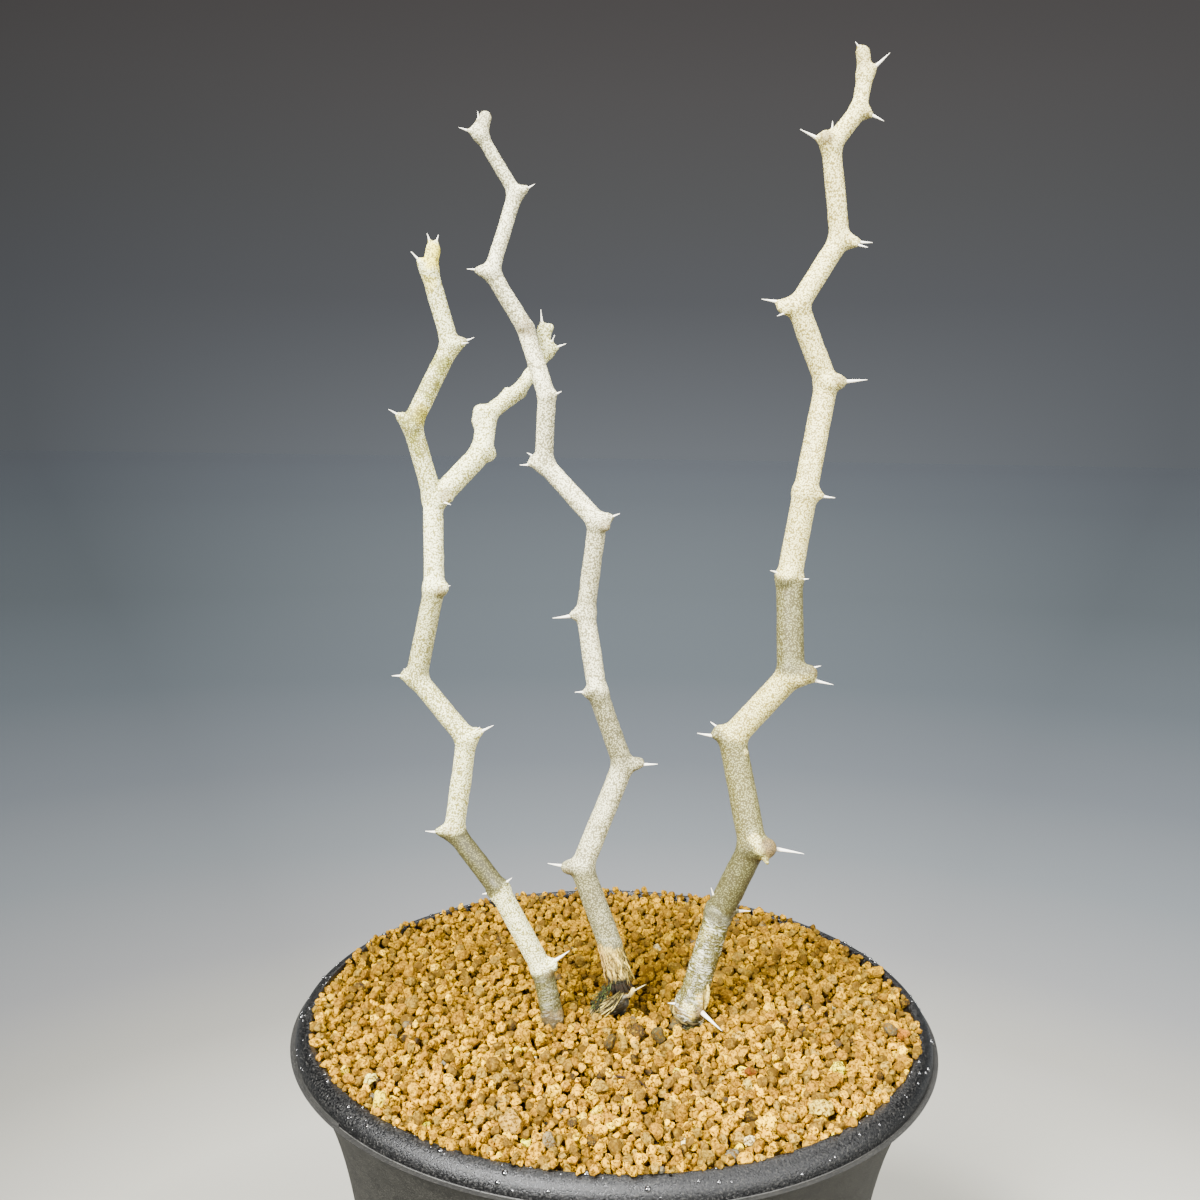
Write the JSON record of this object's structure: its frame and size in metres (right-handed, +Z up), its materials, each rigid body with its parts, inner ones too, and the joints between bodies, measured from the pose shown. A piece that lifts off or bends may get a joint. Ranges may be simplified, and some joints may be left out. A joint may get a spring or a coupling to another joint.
{
  "type": "potted decarya",
  "caption": "Spiny succulent shrub with slender pale zigzag stems, one of them forked, in a round black plastic pot with a rolled rim, filled with fine ochre granules.",
  "frame": {"origin": "centre of the part's bounding box in plan, on the pot's foot plane", "axes": "+Z up along the pot's axis; -Y towards the viewer; +X to the viewer's right, where the tallest stem stands"},
  "size_m": [0.12, 0.12, 0.306],
  "materials": {
    "pot_plastic": "satin",
    "soil_granules": "matte",
    "bark_left": "matte",
    "bark_middle": "matte",
    "bark_right": "matte"
  },
  "bodies": {
    "root": {"pot": "pot_plastic", "soil": "soil_granules", "stem_left": "bark_left", "stem_middle": "bark_middle", "stem_right": "bark_right"}
  },
  "joints": []
}
